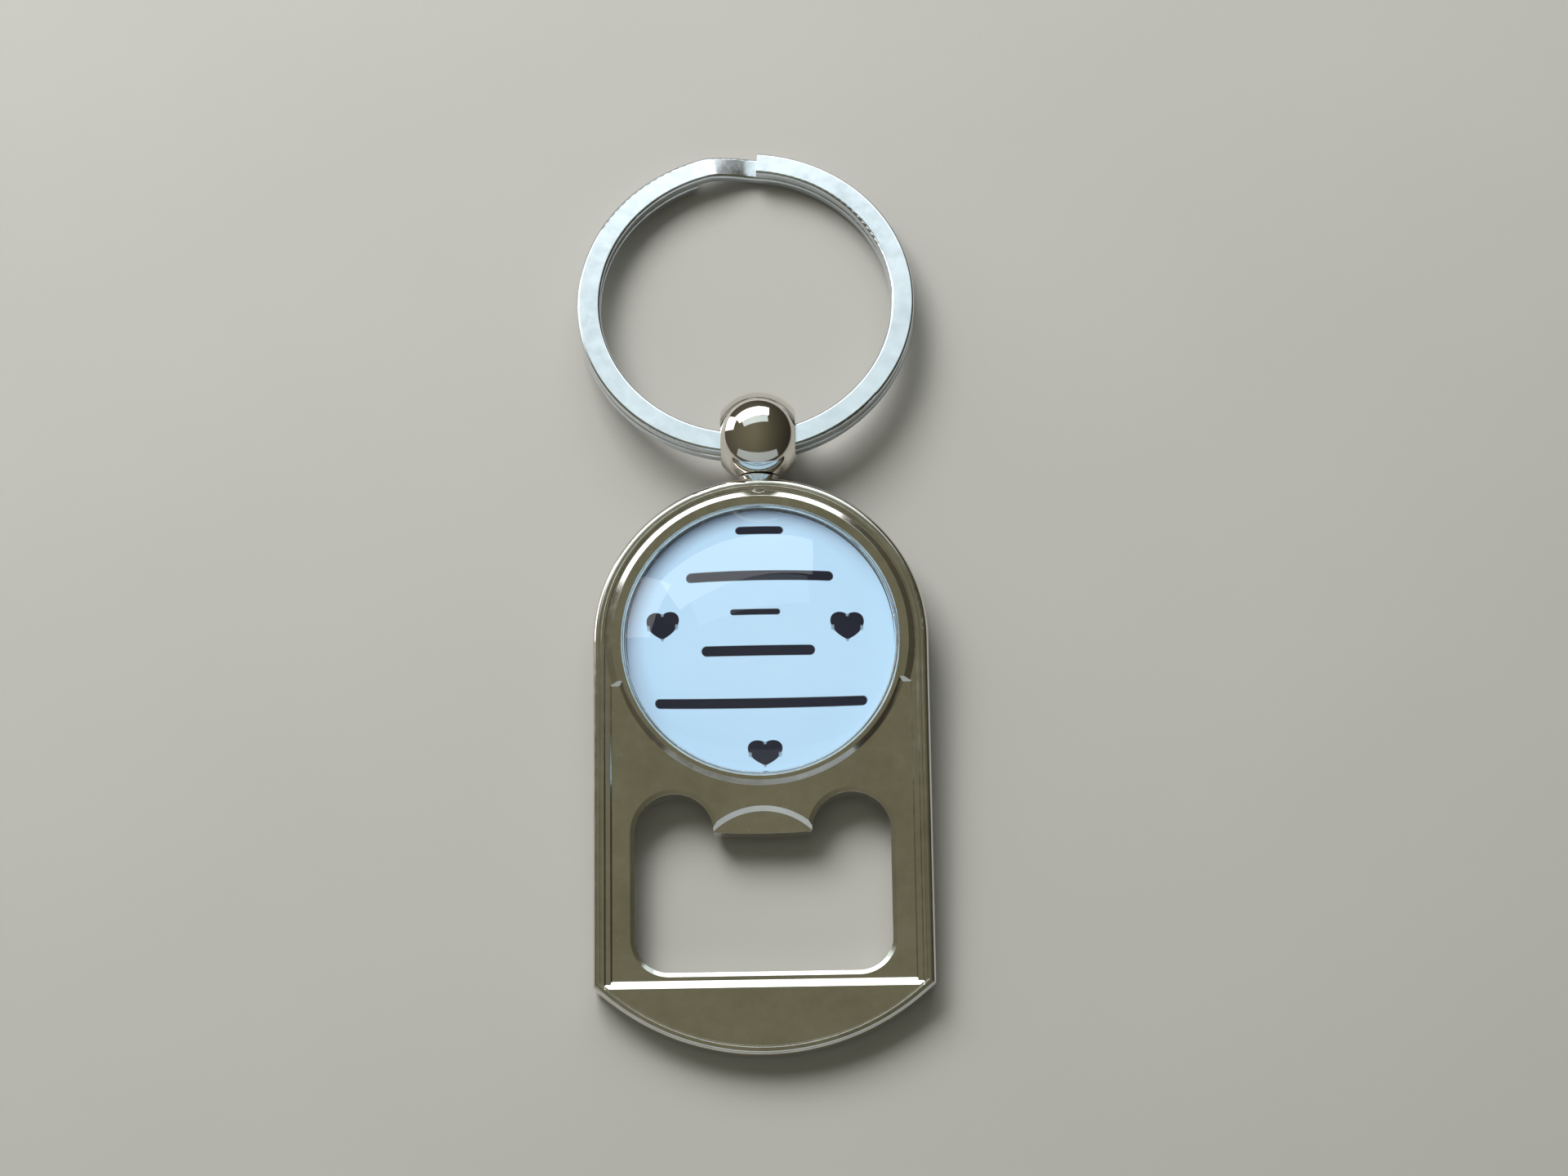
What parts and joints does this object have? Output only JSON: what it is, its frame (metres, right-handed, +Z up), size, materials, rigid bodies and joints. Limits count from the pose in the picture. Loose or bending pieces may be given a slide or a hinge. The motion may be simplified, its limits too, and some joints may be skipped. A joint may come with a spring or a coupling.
{
  "type": "keychain bottle opener",
  "caption": "Flat metal keychain bottle opener with a glass-domed round picture, a lobed cap mouth, a swivelling ball head and a split key ring.",
  "frame": {"origin": "on the table under the centre of the bounding box, the keychain lying on its back as it would on a table", "axes": "+Y along the keychain from the opener's lower end to the split ring, +Z up from the table (picture side up), +X to the right seen from above. The plate leans 2.59 degrees about X because the ball head is thicker than the plate."},
  "size_m": [0.0326, 0.0881, 0.0092],
  "materials": {
    "nickel_plate": "polished nickel plate on a zinc die casting",
    "nickel_ball": "polished nickel plate",
    "ring_steel": "nickel-plated spring steel, bright",
    "rivet_steel": "plated steel, satin",
    "printed_paper": null,
    "adhesive": "clear glue film",
    "clear_glass": "clear polished glass"
  },
  "bodies": {
    "opener": {"opener_body": "nickel_plate", "tray_adhesive": "adhesive", "printed_disc": "printed_paper", "glass_adhesive": "adhesive", "glass_cabochon": "clear_glass", "swivel_rivet": "rivet_steel"},
    "ball": {"swivel_ball": "nickel_ball"},
    "ring": {"split_ring": "ring_steel"}
  },
  "joints": [
    {"name": "ball_swivel", "type": "hinge", "parent": "opener", "child": "ball", "pos_m": [0.00083, 0.01407, 0.0043], "axis": [0, 0.9988, 0.0484], "continuous": true},
    {"name": "ring_swing", "type": "hinge", "parent": "ball", "child": "ring", "pos_m": [0.00083, 0.01407, 0.0043], "axis": [1, 0, 0], "range_deg": [-134, 150]}
  ]
}
